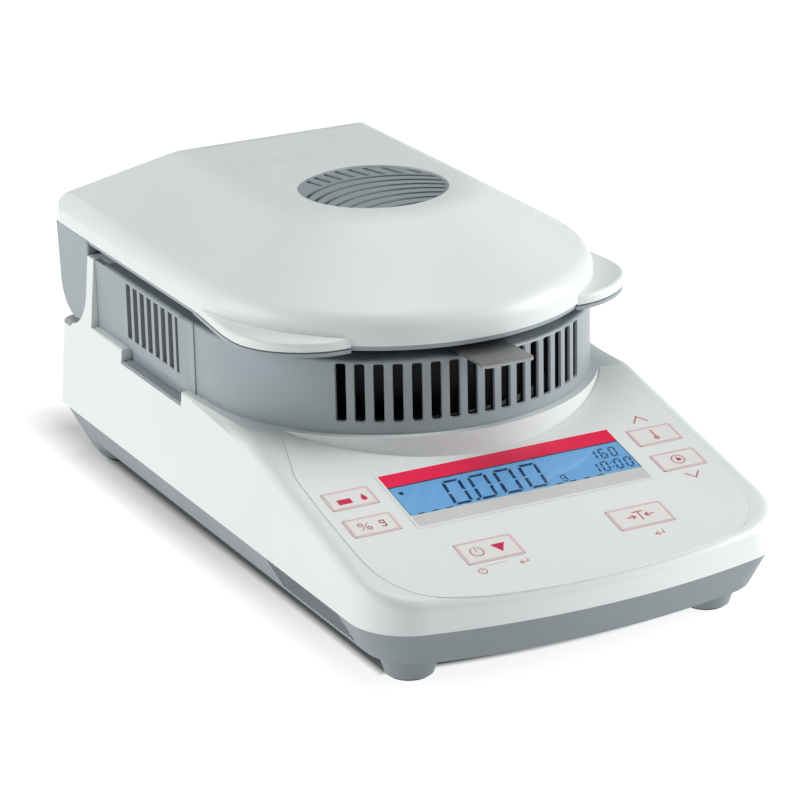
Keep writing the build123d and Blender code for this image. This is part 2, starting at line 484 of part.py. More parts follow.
# grille: rim with sloping slats under it
gr = tube(0, VENT_Y, Z_TOP - 2.2, Z_TOP - 0.5, R_VENT - 0.1, R_VENT - 1.4)
slats = cyl(0, VENT_Y, Z_TOP - 2.1, Z_TOP - 0.6, R_VENT - 1.2)
for i in range(7):
    yc = VENT_Y + 13.3 - 6.5 * i - 37.0
    slats = slats - tube(0, yc, 120, 140, 38.1, 36.0)
for i in range(9):
    cut = Pos(-18.0 + 5.6 * i, VENT_Y + 22.0, 130) * Rot(0, 0, 15) * Box(1.9, 28, 6) - cyl(0, VENT_Y + 16.2 - 37.0, 110, 150, 37.0)
    slats = slats - cut
gr = gr + slats
gr = gr + (box(-0.8, 0.8, VENT_Y - 27, VENT_Y + 27, Z_TOP - 3.4, Z_TOP - 2.0) & cyl(0, VENT_Y, 120, 140, R_VENT - 1.8))
keep("vent_grille", gr)

frame = u_block(LID_W - 0.9, CH_Y, LID_REAR - 0.6, Z_FRAME + 1.1, Z_LID, 5.0) + u_block(LID_W - 4.2, CH_Y, LID_REAR - 4.0, Z_FRAME, Z_LID, 5.0)
for s in (-1, 1):
    frame = frame + wing(s, Z_FRAME + 0.3, 95.7, 0.3)
frame = frame - u_block(64.0, CH_Y, 106.0, Z_FRAME - 1, Z_LID + 1) + (
    u_block(66.0, CH_Y, 108.0, Z_FRAME + 1.2, Z_LID) - cyl(0, CH_Y, 90, 99, 52.0))
keep("lid_frame", frame)

for s, name in ((-1, "left"), (1, "right")):
    arm = side_profile([(PIV_Y - 15.3, 96.7), (PIV_Y - 15.3, PIV_Z + 6), (PIV_Y - 15, PIV_Z), (PIV_Y + 14.9, PIV_Z), (LID_REAR - 0.4, 96.7)], min(s * 74.2, s * 77.9), max(s * 74.2, s * 77.9))
    arm = arm + xcyl(s * 74.2, s * 77.9, PIV_Y, PIV_Z, R_ARM)
    arm = ease(arm, [e for e in arm.edges() if abs(abs((e @ 0.5).X) - 77.9) < 0.01 and (e @ 0.5).Z < 96.0], [1.0, 0.7])
    arm = arm + xcyl(s * 64.0, s * 74.3, PIV_Y, PIV_Z, 9.5) + box(s * 66.4, s * 74.3, PIV_Y - 14, PIV_Y + 14, 86.0, Z_FRAME)
    arm = arm + box(s * 66.4, s * 74.3, PIV_Y - 3, PIV_Y + 3, PIV_Z, 87.0)
    arm = arm - xcyl(s * 63, s * 74.4, PIV_Y, PIV_Z, R_PIN + RUN)
    keep("hinge_arm_" + name, arm)
keep("hinge_pins", Compound(children=[xcyl(s * 53.0, s * 74.0, PIV_Y, PIV_Z, R_PIN) for s in (-1, 1)]))
keep("arm_screws", Compound(children=[cyl(s * 70.6, y, 97.0, 99.4, 2.6) + cyl(s * 70.6, y, 90.0, 97.0, 1.5) for s in (-1, 1) for y in (123.0, 142.0)]))
for s, name in ((-1, "left"), (1, "right")):
    a = NODES["hinge_arm_" + name]
    for y in (123.0, 142.0):
        a = a - cyl(s * 70.6, y, 89.5, 95, 1.5)
    keep("hinge_arm_" + name, a)
for s in (-1, 1):
    frame = frame - box(s * 74.1, s * 80, PIV_Y - 15.4, 153, 90, 96.8) - box(s * 66.3, s * 80, PIV_Y - 14.1, PIV_Y + 14.1, 90, Z_FRAME)
    for y in (123.0, 142.0):
        frame = frame - cyl(s * 70.6, y, 90, 99, 1.5)
keep("lid_frame", frame)

# heater: glass, lamp, reflector, sensor
keep("heater_glass", cyl(0, CH_Y, 97.05, 98.85, 54.0))
keep("glass_clips", Compound(children=[Pos(0, CH_Y, 0) * Rot(0, 0, a) * (box(50.0, 60.0, -3, 3, 98.9, 99.5) + box(56.0, 60.0, -3, 3, 97.0, 99.5)) for a in (20, 110, 200, 290)]))
lamp = Pos(0, CH_Y, 107.0) * Torus(34.0, 4.2)
for s in (-1, 1):
    lamp = lamp + ycyl(s * 14.0, CH_Y + 30.0, CH_Y + 45.0, 107.0, 3.6)
keep("halogen_lamp", lamp)
keep("lamp_sockets", Compound(children=[box(s * 14 - 6, s * 14 + 6, CH_Y + 45.0, CH_Y + 57.0, 101.0, 112.5) for s in (-1, 1)]))
refl_o = loft([Pos(0, CH_Y, 100.0) * Circle(62.0), Pos(0, CH_Y, 118.0) * Circle(34.0)], ruled=True)
refl_i = loft([Pos(0, CH_Y, 99.99) * Circle(61.0), Pos(0, CH_Y, 117.0) * Circle(33.4)], ruled=True)
refl = refl_o - refl_i - cyl(0, CH_Y, 110, 125, 12.0)
refl = refl + tube(0, CH_Y, 98.9, 100.0, 63.2, 60.8)
refl = refl - box(-24, 24, CH_Y + 36, CH_Y + 66, 99.0 + 1.2, 114.0)
refl = refl - box(-58.0, -49.0, CH_Y - 6.2, CH_Y + 2.2, 98.8, 103.4)
for a in (20, 110, 200, 290):
    refl = refl - Pos(0, CH_Y, 0) * Rot(0, 0, a) * box(48.0, 61.0, -3.5, 3.5, 98.0, 100.2)
keep("reflector", refl)
keep("temperature_sensor", xcyl(-50.0, -24.0, CH_Y - 2.0, 101.3, 1.4) + box(-57.0, -50.0, CH_Y - 5.5, CH_Y + 1.5, 99.6, 103.0))
keep("thermal_cutout", cyl(0, CH_Y + 75, 97.0, 103.0, 7.0) + box(-12, 12, CH_Y + 71, CH_Y + 79, 97.0, 98.2))

if __name__ == "__main__":
    for name, shape in NODES.items():
        sols = shape.solids()
        out = sols[0] if len(sols) == 1 else Compound(children=list(sols))
        out.label = name
        export_step(out, "parts/" + name + ".step")
        print(name, len(sols), round(sum(s.volume for s in sols), 1), shape.is_valid)
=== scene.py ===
import bpy
import bmesh
import math
from mathutils import Matrix, Vector


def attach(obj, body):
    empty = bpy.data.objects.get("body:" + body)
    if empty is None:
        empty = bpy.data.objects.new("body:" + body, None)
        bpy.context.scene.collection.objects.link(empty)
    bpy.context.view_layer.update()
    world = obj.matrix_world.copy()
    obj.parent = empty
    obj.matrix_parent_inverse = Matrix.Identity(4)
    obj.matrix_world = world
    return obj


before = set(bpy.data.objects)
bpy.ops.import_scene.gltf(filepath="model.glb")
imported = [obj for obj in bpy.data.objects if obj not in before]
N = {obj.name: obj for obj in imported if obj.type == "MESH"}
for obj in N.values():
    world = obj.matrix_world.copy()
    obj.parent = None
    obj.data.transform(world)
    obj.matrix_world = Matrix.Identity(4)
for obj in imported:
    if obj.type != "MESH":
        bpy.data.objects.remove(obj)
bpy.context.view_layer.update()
scene = bpy.context.scene
MM = 0.001

# ------------------------------------------------------------------ camera
AZ, EL, ROLL = math.radians(27.266), math.radians(19.945), math.radians(-1.194)
back = Vector((-math.sin(AZ) * math.cos(EL), -math.cos(AZ) * math.cos(EL), math.sin(EL)))
right0 = Vector((math.cos(AZ), -math.sin(AZ), 0.0))
up0 = back.cross(right0)
right = math.cos(ROLL) * right0 + math.sin(ROLL) * up0
up = -math.sin(ROLL) * right0 + math.cos(ROLL) * up0
cam_data = bpy.data.cameras.new("camera")
cam = bpy.data.objects.new("camera", cam_data)
scene.collection.objects.link(cam)
cam.matrix_world = Matrix((
    (right.x, up.x, back.x, -552.92 * MM),
    (right.y, up.y, back.y, (-1077.53 + 8.5) * MM),
    (right.z, up.z, back.z, 489.35 * MM),
    (0, 0, 0, 1)))
cam_data.sensor_width = 36.0
cam_data.lens = 152.6
cam_data.clip_start = 0.01
cam_data.clip_end = 50.0
scene.camera = cam
scene.view_settings.view_transform = "Standard"

# ------------------------------------------------------------------ lights
world = bpy.data.worlds.new("world")
scene.world = world
world.use_nodes = True
bg = world.node_tree.nodes["Background"]
bg.inputs["Color"].default_value = (1.0, 1.0, 1.0, 1.0)
bg.inputs["Strength"].default_value = 0.04


def area(name, loc, target, size, power, color=(1, 1, 1), size_y=None):
    ld = bpy.data.lights.new(name, "AREA")
    ld.energy = power
    ld.color = color
    ld.shape = "RECTANGLE"
    ld.size = size
    ld.size_y = size_y or size
    ob = bpy.data.objects.new(name, ld)
    scene.collection.objects.link(ob)
    ob.location = loc
    d = Vector(target) - Vector(loc)
    ob.rotation_euler = d.to_track_quat("-Z", "Y").to_euler()
    return ob


area("left_softbox", (-1.5, 0.45, 0.55), (0, 0, 0.06), 0.9, 13.2)
area("top_softbox", (0.0, 0.12, 1.6), (0, 0, 0.1), 1.1, 13.4)
area("right_softbox", (1.5, -0.75, 0.6), (0, 0, 0.06), 0.8, 26.0)


# --------------------------------------------------------------- materials
def new_mat(name):
    m = bpy.data.materials.new(name)
    m.use_nodes = True
    nt = m.node_tree
    for n in list(nt.nodes):
        nt.nodes.remove(n)
    out = nt.nodes.new("ShaderNodeOutputMaterial")
    b = nt.nodes.new("ShaderNodeBsdfPrincipled")
    nt.links.new(b.outputs[0], out.inputs[0])
    return m, nt, b


def coords(nt, scale=1.0):
    tc = nt.nodes.new("ShaderNodeTexCoord")
    return tc.outputs["Object"]


def noise(nt, vec, scale, detail=3.0, rough=0.5):
    n = nt.nodes.new("ShaderNodeTexNoise")
    n.inputs["Scale"].default_value = scale
    n.inputs["Detail"].default_value = detail
    n.inputs["Roughness"].default_value = rough
    nt.links.new(vec, n.inputs["Vector"])
    return n.outputs["Fac"]


def ramp(nt, fac, c0, c1, p0=0.3, p1=0.7):
    r = nt.nodes.new("ShaderNodeValToRGB")
    r.color_ramp.elements[0].position = p0
    r.color_ramp.elements[0].color = (*c0, 1)
    r.color_ramp.elements[1].position = p1
    r.color_ramp.elements[1].color = (*c1, 1)
    nt.links.new(fac, r.inputs["Fac"])
    return r.outputs["Color"]


def maprange(nt, fac, a, b, lo=0.3, hi=0.7):
    r = nt.nodes.new("ShaderNodeMapRange")
    r.inputs["From Min"].default_value = lo
    r.inputs["From Max"].default_value = hi
    r.inputs["To Min"].default_value = a
    r.inputs["To Max"].default_value = b
    nt.links.new(fac, r.inputs["Value"])
    return r.outputs["Result"]


def bump(nt, b, height, strength, dist=0.0002, prev=None):
    n = nt.nodes.new("ShaderNodeBump")
    n.inputs["Strength"].default_value = strength
    n.inputs["Distance"].default_value = dist
    nt.links.new(height, n.inputs["Height"])
    if prev is not None:
        nt.links.new(prev, n.inputs["Normal"])
    nt.links.new(n.outputs["Normal"], b.inputs["Normal"])
    return n.outputs["Normal"]


def lin(r, g, b):
    def f(c):
        c /= 255.0
        return c / 12.92 if c <= 0.04045 else ((c + 0.055) / 1.055) ** 2.4
    return (f(r), f(g), f(b))


def plastic(name, c0, c1, rough=0.42, grain=1800.0, grain_strength=0.12, spec=0.5, spread=0.05, coat=0.0):
    """moulded plastic: spark-eroded grain, slow colour drift, fine handling variation in gloss"""
    m, nt, b = new_mat(name)
    v = coords(nt)
    slow = noise(nt, v, 9.0, 3.0)
    nt.links.new(ramp(nt, slow, c0, c1), b.inputs["Base Color"])
    mid = noise(nt, v, 60.0, 4.0, 0.6)
    nt.links.new(maprange(nt, mid, rough - spread, rough + spread), b.inputs["Roughness"])
    g = noise(nt, v, grain, 2.0, 0.6)
    n1 = bump(nt, b, g, grain_strength, 0.00008)
    w = noise(nt, v, 25.0, 2.0)
    bump(nt, b, w, 0.05, 0.0004, n1)
    b.inputs["Specular IOR Level"].default_value = spec
    if coat:
        b.inputs["Coat Weight"].default_value = coat
        b.inputs["Coat Roughness"].default_value = 0.2
    return m


def metal(name, c0, c1, rough=0.3, aniso=None, scale=(4.0, 400.0, 400.0), strength=0.08):
    """brushed or drawn sheet: streaks along one direction"""
    m, nt, b = new_mat(name)
    tc = nt.nodes.new("ShaderNodeTexCoord")
    mp = nt.nodes.new("ShaderNodeMapping")
    mp.inputs["Scale"].default_value = scale
    nt.links.new(tc.outputs["Object"], mp.inputs["Vector"])
    s = noise(nt, mp.outputs["Vector"], 3.0, 4.0, 0.7)
    nt.links.new(ramp(nt, s, c0, c1), b.inputs["Base Color"])
    nt.links.new(maprange(nt, s, rough - 0.08, rough + 0.08), b.inputs["Roughness"])
    b.inputs["Metallic"].default_value = 1.0
    bump(nt, b, s, strength, 0.00006)
    return m


M = {}
M["white"] = plastic("white_plastic", lin(224, 231, 229), lin(229, 235, 233), rough=0.40, grain=1500.0, grain_strength=0.10)
M["ring"] = plastic("ring_grey_plastic", lin(150, 160, 165), lin(155, 165, 170), rough=0.42, grain=1500.0, grain_strength=0.12)
M["lower"] = plastic("lower_grey_plastic", lin(124, 133, 138), lin(129, 138, 143), rough=0.46, grain=1500.0, grain_strength=0.14)
M["overlay"] = plastic("overlay_film", lin(231, 235, 233), lin(234, 238, 236), rough=0.34, grain=2600.0, grain_strength=0.06, spread=0.03)
M["key"] = plastic("key_film", lin(231, 231, 229), lin(234, 234, 232), rough=0.33, grain=2600.0, grain_strength=0.06, spread=0.03)
M["black"] = plastic("black_moulding", (0.012, 0.012, 0.013), (0.02, 0.02, 0.022), rough=0.4)
M["rubber"] = plastic("foot_rubber", (0.02, 0.02, 0.02), (0.035, 0.035, 0.034), rough=0.8, grain=900.0, grain_strength=0.3, spec=0.3)
M["ceramic"] = plastic("ceramic", (0.72, 0.70, 0.64), (0.80, 0.78, 0.72), rough=0.6, grain=700.0, grain_strength=0.15)
M["core"] = metal("laminated_core", (0.05, 0.05, 0.055), (0.10, 0.10, 0.11), rough=0.5, scale=(200.0, 200.0, 1200.0), strength=0.3)
M["screw"] = metal("zinc_steel", (0.45, 0.45, 0.44), (0.62, 0.62, 0.60), rough=0.32, scale=(300.0, 300.0, 300.0))
M["sheet"] = metal("brushed_sheet", (0.50, 0.50, 0.49), (0.62, 0.62, 0.61), rough=0.34)
M["handler"] = metal("handler_sheet", (0.30, 0.30, 0.30), (0.40, 0.40, 0.39), rough=0.42, scale=(6.0, 300.0, 300.0))
M["aluminium"] = metal("machined_aluminium", (0.68, 0.68, 0.70), (0.80, 0.80, 0.82), rough=0.30, scale=(300.0, 8.0, 300.0))
M["foil"] = metal("drawn_foil", (0.78, 0.78, 0.79), (0.88, 0.88, 0.89), rough=0.22, scale=(60.0, 60.0, 200.0), strength=0.15)
M["reflector"] = metal("bright_reflector", (0.80, 0.80, 0.80), (0.90, 0.90, 0.90), rough=0.14, scale=(40.0, 40.0, 40.0), strength=0.03)
M["pot"] = metal("dark_coated_sheet", (0.035, 0.035, 0.037), (0.05, 0.05, 0.052), rough=0.5, scale=(60.0, 60.0, 300.0))
M["foot"] = plastic("foot_plastic", lin(112, 122, 126), lin(120, 130, 134), rough=0.5)


def pcb_material():
    m, nt, b = new_mat("solder_mask")
    v = coords(nt)
    br = nt.nodes.new("ShaderNodeTexBrick")
    br.inputs["Scale"].default_value = 130.0
    br.inputs["Mortar Size"].default_value = 0.03
    br.inputs["Color1"].default_value = (0.015, 0.12, 0.05, 1)
    br.inputs["Color2"].default_value = (0.02, 0.15, 0.06, 1)
    br.inputs["Mortar"].default_value = (0.05, 0.26, 0.11, 1)
    nt.links.new(v, br.inputs["Vector"])
    nt.links.new(br.outputs["Color"], b.inputs["Base Color"])
    b.inputs["Roughness"].default_value = 0.3
    bump(nt, b, br.outputs["Fac"], 0.2, 0.0001)
    return m


M["pcb"] = pcb_material()


def glass(name, color, rough=0.03, ior=1.47, alpha=None, tint_scale=12.0):
    m, nt, b = new_mat(name)
    v = coords(nt)
    s = noise(nt, v, tint_scale, 2.0)
    c1 = tuple(min(1.0, c * 1.03) for c in color)
    nt.links.new(ramp(nt, s, color, c1), b.inputs["Base Color"])
    nt.links.new(maprange(nt, noise(nt, v, 300.0), rough, rough + 0.02), b.inputs["Roughness"])
    b.inputs["IOR"].default_value = ior
    b.inputs["Transmission Weight"].default_value = 1.0
    return m


M["clear"] = glass("clear_window", (0.97, 0.985, 1.0), rough=0.02)
M["heater_glass"] = glass("heater_glass", (0.93, 0.90, 0.86), rough=0.02)
M["quartz"] = glass("quartz", (0.97, 0.95, 0.92), rough=0.02)
M["vial"] = glass("vial_liquid", (0.70, 0.92, 0.25), rough=0.02)


def lcd_material():
    """liquid crystal glass: light blue with a faint cell matrix and a slow backlight falloff"""
    m, nt, b = new_mat("lcd_blue")
    v = coords(nt)
    s = noise(nt, v, 14.0, 2.0)
    nt.links.new(ramp(nt, s, lin(120, 182, 228), lin(132, 192, 236)), b.inputs["Base Color"])
    nt.links.new(ramp(nt, s, lin(120, 182, 228), lin(132, 192, 236)), b.inputs["Emission Color"])
    b.inputs["Emission Strength"].default_value = 0.22
    b.inputs["Roughness"].default_value = 0.3
    g = noise(nt, v, 3500.0, 1.0)
    bump(nt, b, g, 0.03, 0.00003)
    return m


M["lcd"] = lcd_material()


def ink(name, c, rough=0.4, spread=0.012, scale=500.0):
    """printed ink: slightly uneven film on a satin foil"""
    m, nt, b = new_mat(name)
    v = coords(nt)
    s = noise(nt, v, scale, 3.0, 0.6)
    c0 = tuple(max(0.0, x * (1 - spread * 4)) for x in c)
    c1 = tuple(min(1.0, x * (1 + spread * 4)) for x in c)
    nt.links.new(ramp(nt, s, c0, c1), b.inputs["Base Color"])
    nt.links.new(maprange(nt, s, rough - 0.04, rough + 0.04), b.inputs["Roughness"])
    bump(nt, b, s, 0.05, 0.00004)
    return m


M["red"] = ink("crimson_print", lin(240, 12, 74), 0.42)
M["strip"] = ink("grey_strip_print", lin(207, 208, 205), 0.36)
M["outline"] = ink("key_outline_print", lin(224, 190, 194), 0.4)
M["icon"] = ink("crimson_icon_print", lin(206, 30, 78), 0.4)
M["icon_pale"] = ink("pale_icon_print", lin(214, 150, 158), 0.4)
M["icon_mid"] = ink("muted_icon_print", lin(205, 110, 128), 0.4)
M["segment"] = ink("lcd_segment", lin(38, 80, 136), 0.25)
# dark blue ink: printed marks, and painted shade along the top of the display face
M["edge"] = ink("lcd_edge_ink_and_painted_shade", lin(40, 66, 100), 0.3)

SLOTS = {
    "upper_housing": "white", "lid_cover": "white", "lower_housing": "lower", "chamber_ring": "ring", "lid_frame": "ring",
    "hinge_arm_left": "ring", "hinge_arm_right": "ring", "vent_grille": "ring", "membrane_overlay": "overlay", "display_window": "clear",
    "lcd_panel": "lcd", "lcd_backlight": "strip", "display_board": "pcb", "main_board": "pcb", "power_supply_board": "pcb", "key_switches": "black",
    "transformer": "core", "load_cell": "aluminium", "load_cell_base": "aluminium", "load_cell_screws": "screw", "housing_screws": "screw",
    "ring_screws": "screw", "arm_screws": "screw", "inlet_screws": "screw", "hinge_pins": "screw", "power_inlet": "black", "fuse_drawer": "black",
    "fuses": "quartz", "serial_port": "screw", "level_body": "black", "level_vial": "vial", "front_feet": "rubber", "rear_foot_pad_left": "rubber",
    "rear_foot_pad_right": "rubber", "rear_foot_left": "foot", "rear_foot_right": "foot", "heat_shield": "pot", "wind_shield": "sheet",
    "reflector": "reflector", "pan_support": "sheet", "sample_pan": "foil", "pan_handler": "handler", "heater_glass": "heater_glass",
    "glass_clips": "sheet", "halogen_lamp": "quartz", "lamp_sockets": "ceramic", "temperature_sensor": "sheet", "thermal_cutout": "black",
}
for k in ("profile", "readout", "time", "temperature", "start", "tare"):
    SLOTS["key_" + k] = "key"


def ring_material_painted_shade():
    """grey plastic outside; the inner faces of the ring wall are coloured near-black as painted shade, standing in for
    the shadow inside the ring and its slots
    """
    m = plastic("ring_grey_painted_inner_shade", lin(150, 160, 165), lin(155, 165, 170), rough=0.42, grain=1500.0, grain_strength=0.12)
    nt = m.node_tree
    b = [n for n in nt.nodes if n.type == "BSDF_PRINCIPLED"][0]
    src = b.inputs["Base Color"].links[0].from_socket
    geo = nt.nodes.new("ShaderNodeNewGeometry")
    sep = nt.nodes.new("ShaderNodeSeparateXYZ")
    nt.links.new(geo.outputs["Position"], sep.inputs[0])

    def op(kind, a, c=None):
        n = nt.nodes.new("ShaderNodeMath")
        n.operation = kind
        for i, q in enumerate((a, c)):
            if q is None:
                continue
            if isinstance(q, float):
                n.inputs[i].default_value = q
            else:
                nt.links.new(q, n.inputs[i])
        return n.outputs[0]
    dy = op("MINIMUM", op("SUBTRACT", sep.outputs["Y"], 0.013), 0.0)
    q = op("SQRT", op("ADD", op("POWER", sep.outputs["X"], 2.0), op("POWER", dy, 2.0)))
    q2 = op("SQRT", op("ADD", op("MULTIPLY", sep.outputs["X"], sep.outputs["X"]), op("MULTIPLY", dy, dy)))
    nt.nodes.remove(q.node)
    # painted shade: inside this radius and between these heights the ring gets near-black colour in place of the
    # shadow that falls there
    outside = op("GREATER_THAN", q2, 0.0755)
    top = op("GREATER_THAN", sep.outputs["Z"], 0.0905)
    low = op("LESS_THAN", sep.outputs["Z"], 0.0632)
    keep = op("MAXIMUM", op("MAXIMUM", outside, top), low)
    mix = nt.nodes.new("ShaderNodeMix")
    mix.data_type = "RGBA"
    nt.links.new(keep, mix.inputs["Factor"])
    mix.inputs[6].default_value = (0.012, 0.012, 0.013, 1)
    nt.links.new(src, mix.inputs[7])
    nt.links.new(mix.outputs[2], b.inputs["Base Color"])
    return m


M["ring_painted_inner_shade"] = ring_material_painted_shade()
SLOTS["chamber_ring"] = "ring_painted_inner_shade"
for node, ob in N.items():
    mat = M[SLOTS.get(node, "black")]
    if len(ob.material_slots) == 0:
        ob.data.materials.append(mat)
    for sl in ob.material_slots:
        sl.material = mat

# ------------------------------------------------------------------- stage
me = bpy.data.meshes.new("floor")
bm = bmesh.new()
bmesh.ops.create_grid(bm, x_segments=4, y_segments=4, size=6.0)
bm.to_mesh(me)
bm.free()
floor = bpy.data.objects.new("floor", me)
scene.collection.objects.link(floor)
mf, nt, b = new_mat("floor_white_with_painted_shadow")
v = coords(nt)
nt.links.new(ramp(nt, noise(nt, v, 2.0), (0.30, 0.30, 0.30), (0.32, 0.32, 0.32)), b.inputs["Base Color"])
nt.links.new(ramp(nt, noise(nt, v, 2.0), (0.98, 0.98, 0.98), (1.0, 1.0, 1.0)), b.inputs["Emission Color"])
sep = nt.nodes.new("ShaderNodeSeparateXYZ")
nt.links.new(v, sep.inputs[0])


def mnode(op, a, b=None, c=None):
    """a math node; numbers are set on the sockets, outputs are linked"""
    n = nt.nodes.new("ShaderNodeMath")
    n.operation = op
    for k, val in enumerate((a, b, c)):
        if val is None:
            continue
        if isinstance(val, (int, float)):
            n.inputs[k].default_value = val
        else:
            nt.links.new(val, n.inputs[k])
    return n.outputs[0]


# painted contact shadow: the floor's emission drops to zero in a dark strip below the raised tray, following its
# curved front edge
fx, fy = sep.outputs["X"], sep.outputs["Y"]
front_line = mnode("MULTIPLY_ADD", mnode("MULTIPLY", fx, fx), 1.79, -0.1195)
in_y = mnode("SUBTRACT", front_line, fy)
in_x = mnode("SUBTRACT", mnode("ABSOLUTE", fx), 0.0675)
in_r = mnode("SUBTRACT", fy, 0.125)
painted_contact_shadow_emission = maprange(nt, mnode("MAXIMUM", mnode("MAXIMUM", in_x, in_y), in_r), 0.0, 0.86, 0.0, 0.004)
# soft shade on the floor along the left side
near = maprange(nt, in_x, 1.0, 0.0, 0.001, 0.020)
left = maprange(nt, fx, 1.0, 0.0, -0.062, -0.055)
fade = maprange(nt, fy, 1.0, 0.0, 0.170, 0.206)
ahead = maprange(nt, fy, 0.0, 1.0, -0.125, 0.05)
shade = mnode("MULTIPLY", mnode("MULTIPLY", near, left), mnode("MULTIPLY", fade, ahead))
keep = mnode("MULTIPLY_ADD", shade, -0.62, 1.0)
tot = nt.nodes.new("ShaderNodeMath")
tot.operation = "MULTIPLY"
nt.links.new(painted_contact_shadow_emission, tot.inputs[0])
nt.links.new(keep, tot.inputs[1])
nt.links.new(tot.outputs[0], b.inputs["Emission Strength"])
b.inputs["Roughness"].default_value = 0.8
me.materials.append(mf)

# --------------------------------------------------------- operator panel
T = math.atan(0.25)
PY, PZ = -80.5, 50.7


def panel_pt(x, y, h):
    """x, y in row millimetres, h millimetres above the panel plane, as metres"""
    z = PZ + 0.25 * (y - PY)
    return Vector((x, y - h * math.sin(T), z + h * math.cos(T))) * MM


def flat_piece(name, loops, h0, h1, mat, body="base", ease=0.0):
    """thin printed or moulded piece on the panel; loops are outer outlines in row x, y"""
    bm = bmesh.new()
    for pts in loops:
        vs = [bm.verts.new(panel_pt(x, y, h0)) for x, y in pts]
        bm.faces.new(vs)
    bmesh.ops.recalc_face_normals(bm, faces=bm.faces[:])
    ext = bmesh.ops.extrude_face_region(bm, geom=bm.faces[:])
    nrm = Vector((0, -math.sin(T), math.cos(T))) * (h1 - h0) * MM
    for g in ext["geom"]:
        if isinstance(g, bmesh.types.BMVert):
            g.co += nrm
    bmesh.ops.recalc_face_normals(bm, faces=bm.faces[:])
    me = bpy.data.meshes.new(name)
    bm.to_mesh(me)
    bm.free()
    ob = bpy.data.objects.new(name, me)
    scene.collection.objects.link(ob)
    me.materials.append(mat)
    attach(ob, body)
    return ob


def rect(x0, x1, y0, y1, r=0.0, n=6):
    if r <= 0:
        return [(x0, y0), (x1, y0), (x1, y1), (x0, y1)]
    pts = []
    for cx, cy, a0 in ((x1 - r, y0 + r, -90), (x1 - r, y1 - r, 0), (x0 + r, y1 - r, 90), (x0 + r, y0 + r, 180)):
        for i in range(n + 1):
            a = math.radians(a0 + 90.0 * i / n)
            pts.append((cx + r * math.cos(a), cy + r * math.sin(a)))
    return pts


def frame_loops(x0, x1, y0, y1, w, r):
    """a closed outline band as four mitred quads with rounded corners"""
    o = rect(x0, x1, y0, y1, r)
    i = rect(x0 + w, x1 - w, y0 + w, y1 - w, max(r - w, 0.15))
    out = []
    k = len(o)
    for a in range(k):
        b_ = (a + 1) % k
        out.append([o[a], o[b_], i[b_], i[a]])
    return out


def band(name, loops, h, mat, body="base", thick=0.05):
    """a ring of quads welded into one printed line"""
    bm = bmesh.new()
    cache = {}

    def vert(p):
        key = (round(p[0], 4), round(p[1], 4))
        if key not in cache:
            cache[key] = bm.verts.new(panel_pt(p[0], p[1], h))
        return cache[key]
    for q in loops:
        vs = []
        for p in q:
            vv = vert(p)
            if vv not in vs:
                vs.append(vv)
        if len(vs) >= 3:
            try:
                bm.faces.new(vs)
            except ValueError:
                pass
    bmesh.ops.recalc_face_normals(bm, faces=bm.faces[:])
    ext = bmesh.ops.extrude_face_region(bm, geom=bm.faces[:])
    nrm = Vector((0, -math.sin(T), math.cos(T))) * thick * MM
    for g in ext["geom"]:
        if isinstance(g, bmesh.types.BMVert):
            g.co += nrm
    bmesh.ops.recalc_face_normals(bm, faces=bm.faces[:])
    me = bpy.data.meshes.new(name)
    bm.to_mesh(me)
    bm.free()
    ob = bpy.data.objects.new(name, me)
    scene.collection.objects.link(ob)
    me.materials.append(mat)
    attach(ob, body)
    return ob


KEYS = {
    "profile": (-71.6, -53.4, -82.9, -72.4),
    "readout": (-71.6, -53.4, -99.5, -89.0),
    "time": (53.4, 71.6, -99.5, -89.0),
    "temperature": (53.4, 71.6, -82.9, -72.4),
    "start": (-41.6, -19.4, -126.2, -114.2),
    "tare": (19.4, 41.6, -126.2, -114.2),
}
KEY_TOP, OVL_TOP, WIN_TOP = 0.35, 0.15, 0.25
for k, (x0, x1, y0, y1) in KEYS.items():
    band("outline_" + k, frame_loops(x0 + 0.15, x1 - 0.15, y0 + 0.15, y1 - 0.15, 0.75, 1.1), KEY_TOP - 0.005, M["outline"], k + "_key", 0.03)


def strokes(paths, w, n=None):
    """quads for polylines of width w"""
    out = []
    for pts in paths:
        for (ax, ay), (bx, by) in zip(pts, pts[1:]):
            dx, dy = bx - ax, by - ay
            L = math.hypot(dx, dy) or 1.0
            ex, ey = dx / L * w * 0.5, dy / L * w * 0.5
            px, py = -dy / L * w * 0.5, dx / L * w * 0.5
            out.append([(ax - ex + px, ay - ey + py), (ax - ex - px, ay - ey - py), (bx + ex - px, by + ey - py), (bx + ex + px, by + ey + py)])
    return out


def arcpts(cx, cy, r, a0, a1, n=16):
    return [(cx + r * math.cos(math.radians(a0 + (a1 - a0) * i / n)), cy + r * math.sin(math.radians(a0 + (a1 - a0) * i / n))) for i in range(n + 1)]


def icon(name, loops, body, h, mat=None):
    return flat_piece(name, loops, h - 0.005, h + 0.03, mat or M["icon"], body)


h = KEY_TOP
# profile: bar and drop
icon("icon_profile_bar", [rect(-67.9, -62.6, -80.3, -77.4, 0.3)], "profile_key", h)
drop = arcpts(-57.6, -79.0, 1.15, -200, 20, 14) + [(-57.0, -77.6), (-57.6, -76.2)]
icon("icon_profile_drop", [drop], "profile_key", h)
# readout: percent and unit
icon("icon_readout_a", strokes([arcpts(-66.6, -93.2, 0.8, 0, 360, 12), arcpts(-64.0, -95.6, 0.8, 0, 360, 12), [(-66.9, -96.2), (-63.7, -92.6)]], 0.45), "readout_key", h, M["icon_pale"])
icon("icon_readout_b", strokes([arcpts(-58.4, -93.6, 0.85, 0, 360, 14), [(-57.55, -92.8), (-57.55, -95.4)], arcpts(-58.4, -95.4, 0.85, 0, -150, 8)], 0.5), "readout_key", h, M["icon_mid"])
